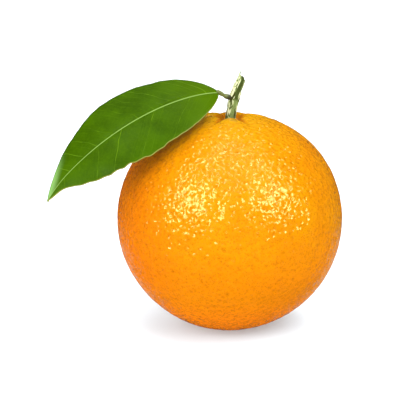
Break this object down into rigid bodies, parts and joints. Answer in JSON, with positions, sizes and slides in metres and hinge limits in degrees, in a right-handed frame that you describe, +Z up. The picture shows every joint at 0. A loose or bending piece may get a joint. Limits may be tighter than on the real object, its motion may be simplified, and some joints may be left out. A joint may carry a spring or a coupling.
{
  "type": "orange",
  "caption": "Round citrus fruit with a dimpled peel, resting on a small flat spot, with a cut woody stem and a leaf that arches out over its shoulder.",
  "frame": {"origin": "centre of the flat spot that the fruit rests on", "axes": "+Z up along the fruit's axis, -X the way the leaf points, -Y the side that the leaf's upper face turns to"},
  "size_m": [0.1022, 0.08, 0.0916],
  "materials": {
    "peel": "glossy waxy peel covered in small oil-gland pits",
    "calyx": "matte, dry and slightly woody",
    "bark": "matte ridged bark, cream ridges and olive grooves",
    "petiole": "satin, green with a brown joint",
    "leaf": "glossy upper face, matte paler under face"
  },
  "bodies": {
    "root": {"fruit": "peel", "calyx": "calyx", "stem": "bark", "petiole": "petiole", "leaf": "leaf"}
  },
  "joints": []
}
